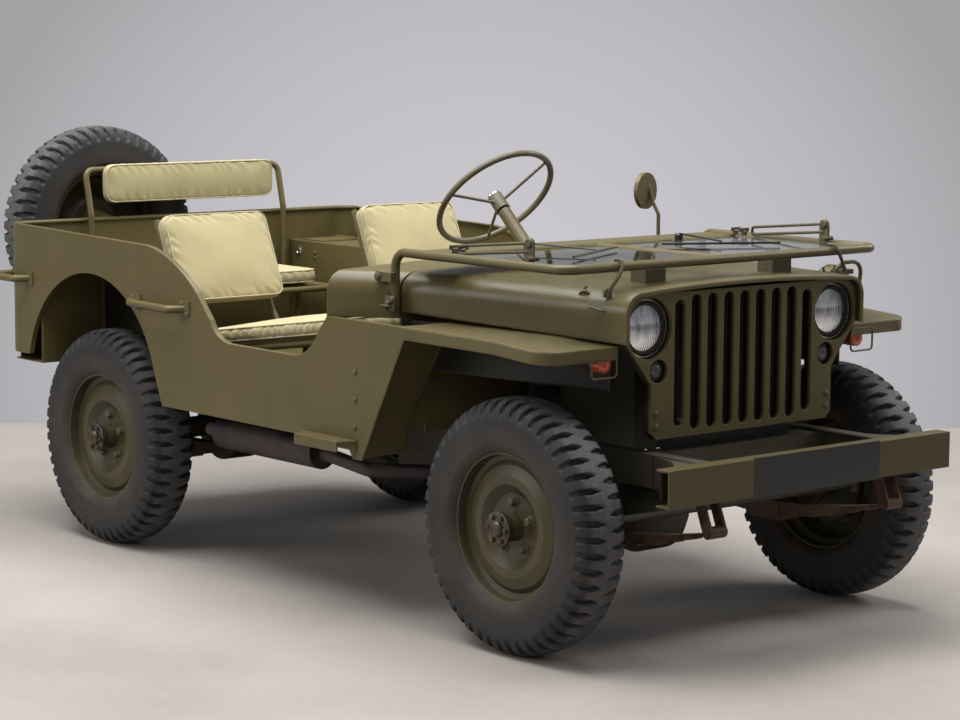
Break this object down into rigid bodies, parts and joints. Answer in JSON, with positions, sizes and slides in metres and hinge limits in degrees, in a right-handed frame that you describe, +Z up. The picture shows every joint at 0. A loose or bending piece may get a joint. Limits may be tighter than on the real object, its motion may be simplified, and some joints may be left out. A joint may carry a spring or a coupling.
{
  "type": "open four-wheel-drive army field car",
  "caption": "Open army field car with slotted grille, folded windshield, canvas seats, lug tyres and a rear spare.",
  "frame": {"origin": "middle of the footprint of the whole car, at the ground under its tyres", "axes": "+Z up, +Y to the car's rear, +X to the car's left, the driver's side"},
  "size_m": [1.574, 3.2476, 1.343],
  "materials": {
    "olive_paint": "satin olive drab paint",
    "chassis_paint": "matt olive drab paint, darkened underneath",
    "bare_steel": "rusty spring steel",
    "exhaust_steel": "dark heated steel",
    "cast_parts": "painted castings",
    "tyre_rubber": "near-black rubber",
    "lamp_steel": "satin olive drab paint",
    "clear_glass": "clear flat glass",
    "lamp_glass": "clear ribbed glass",
    "canvas": "pale khaki canvas",
    "seat_tube_paint": "satin olive drab paint",
    "oak": "painted wood",
    "core_metal": "black radiator",
    "wheel_rim_paint": "olive steering wheel with dark spokes"
  },
  "bodies": {
    "car": {"frame_rail_left": "chassis_paint", "frame_rail_right": "chassis_paint", "frame_crossmembers": "chassis_paint", "front_bumper": "olive_paint", "rear_bumpers": "olive_paint", "pintle_hook": "cast_parts", "front_axle": "cast_parts", "rear_axle": "cast_parts", "leaf_springs": "bare_steel", "engine_and_gearbox": "chassis_paint", "radiator": "core_metal", "exhaust": "exhaust_steel", "fuel_tank": "olive_paint", "cowl": "olive_paint", "fender_left": "olive_paint", "fender_right": "olive_paint", "grille": "olive_paint", "head_lamps": "lamp_steel", "head_lamp_lenses": "lamp_glass", "small_lamps": "lamp_steel", "blackout_lamp": "lamp_steel", "mirror": "lamp_steel", "side_panel_left": "olive_paint", "side_panel_right": "olive_paint", "rear_panel": "olive_paint", "floor_pan": "olive_paint", "wheelhouse_left": "olive_paint", "wheelhouse_right": "olive_paint", "foot_steps": "olive_paint", "grab_handles": "olive_paint", "driver_cushions": "canvas", "driver_seat_frame": "seat_tube_paint", "rear_cushions": "canvas", "rear_seat_frame": "seat_tube_paint", "steering_column": "olive_paint", "levers_and_pedals": "chassis_paint", "spare_wheel": "olive_paint", "spare_tyre": "tyre_rubber"},
    "knuckle_left_body": {"knuckle_left": "cast_parts"},
    "knuckle_right_body": {"knuckle_right": "cast_parts"},
    "tie_rod_body": {"tie_rod": "chassis_paint"},
    "front_left_wheel": {"wheel_front_left": "olive_paint", "tyre_front_left": "tyre_rubber"},
    "front_right_wheel": {"wheel_front_right": "olive_paint", "tyre_front_right": "tyre_rubber"},
    "rear_left_wheel": {"wheel_rear_left": "olive_paint", "tyre_rear_left": "tyre_rubber"},
    "rear_right_wheel": {"wheel_rear_right": "olive_paint", "tyre_rear_right": "tyre_rubber"},
    "steering_wheel_body": {"steering_wheel": "wheel_rim_paint"},
    "hood_body": {"hood": "olive_paint", "hood_blocks": "oak"},
    "windshield_body": {"windshield_frame": "olive_paint", "windshield_glass": "clear_glass"},
    "passenger_seat_body": {"passenger_cushions": "canvas", "passenger_seat_frame": "seat_tube_paint"},
    "tool_lid_left_body": {"tool_lid_left": "olive_paint"},
    "tool_lid_right_body": {"tool_lid_right": "olive_paint"}
  },
  "joints": [
    {"name": "steer_left", "type": "hinge", "parent": "car", "child": "knuckle_left_body", "pos_m": [0.518, -1.1185, 0.354], "axis": [0, 0, 1], "range_deg": [-26, 26]},
    {"name": "steer_right", "type": "hinge", "parent": "car", "child": "knuckle_right_body", "pos_m": [-0.518, -1.1185, 0.354], "axis": [0, 0, 1], "range_deg": [-26, 26]},
    {"name": "tie_rod_turn", "type": "hinge", "parent": "knuckle_left_body", "child": "tie_rod_body", "pos_m": [0.518, -1.2935, 0.371], "axis": [0, 0, 1], "range_deg": [-26, 26]},
    {"name": "steering_wheel_turn", "type": "hinge", "parent": "car", "child": "steering_wheel_body", "pos_m": [0.37, 0.1655, 1.14], "axis": [0, 0.7314, 0.682], "range_deg": [-364, 364]},
    {"name": "front_left_roll", "type": "hinge", "parent": "knuckle_left_body", "child": "front_left_wheel", "pos_m": [0.621, -1.1185, 0.354], "axis": [1, 0, 0], "continuous": true},
    {"name": "front_right_roll", "type": "hinge", "parent": "knuckle_right_body", "child": "front_right_wheel", "pos_m": [-0.621, -1.1185, 0.354], "axis": [1, 0, 0], "continuous": true},
    {"name": "rear_left_roll", "type": "hinge", "parent": "car", "child": "rear_left_wheel", "pos_m": [0.621, 0.9135, 0.354], "axis": [1, 0, 0], "continuous": true},
    {"name": "rear_right_roll", "type": "hinge", "parent": "car", "child": "rear_right_wheel", "pos_m": [-0.621, 0.9135, 0.354], "axis": [1, 0, 0], "continuous": true},
    {"name": "hood_lift", "type": "hinge", "parent": "car", "child": "hood_body", "pos_m": [0, -0.5485, 1.017], "axis": [-1, 0, 0], "range_deg": [0, 80]},
    {"name": "windshield_raise", "type": "hinge", "parent": "car", "child": "windshield_body", "pos_m": [0, -0.5055, 0.99], "axis": [-1, 0, 0], "range_deg": [0, 100]},
    {"name": "passenger_seat_tip", "type": "hinge", "parent": "car", "child": "passenger_seat_body", "pos_m": [-0.4, -0.1635, 0.554], "axis": [1, 0, 0], "range_deg": [0, 45]},
    {"name": "tool_lid_left_lift", "type": "hinge", "parent": "car", "child": "tool_lid_left_body", "pos_m": [0.632, 1.3215, 0.9213], "axis": [0, 1, 0], "range_deg": [0, 90]},
    {"name": "tool_lid_right_lift", "type": "hinge", "parent": "car", "child": "tool_lid_right_body", "pos_m": [-0.632, 1.3215, 0.9213], "axis": [0, -1, 0], "range_deg": [0, 90]}
  ],
  "couplings": [
    {"joint": "steer_right", "follows": "steer_left", "ratio": 1},
    {"joint": "tie_rod_turn", "follows": "steer_left", "ratio": -1},
    {"joint": "steering_wheel_turn", "follows": "steer_left", "ratio": 14},
    {"joint": "windshield_raise", "follows": "hood_lift", "ratio": 1.25}
  ]
}
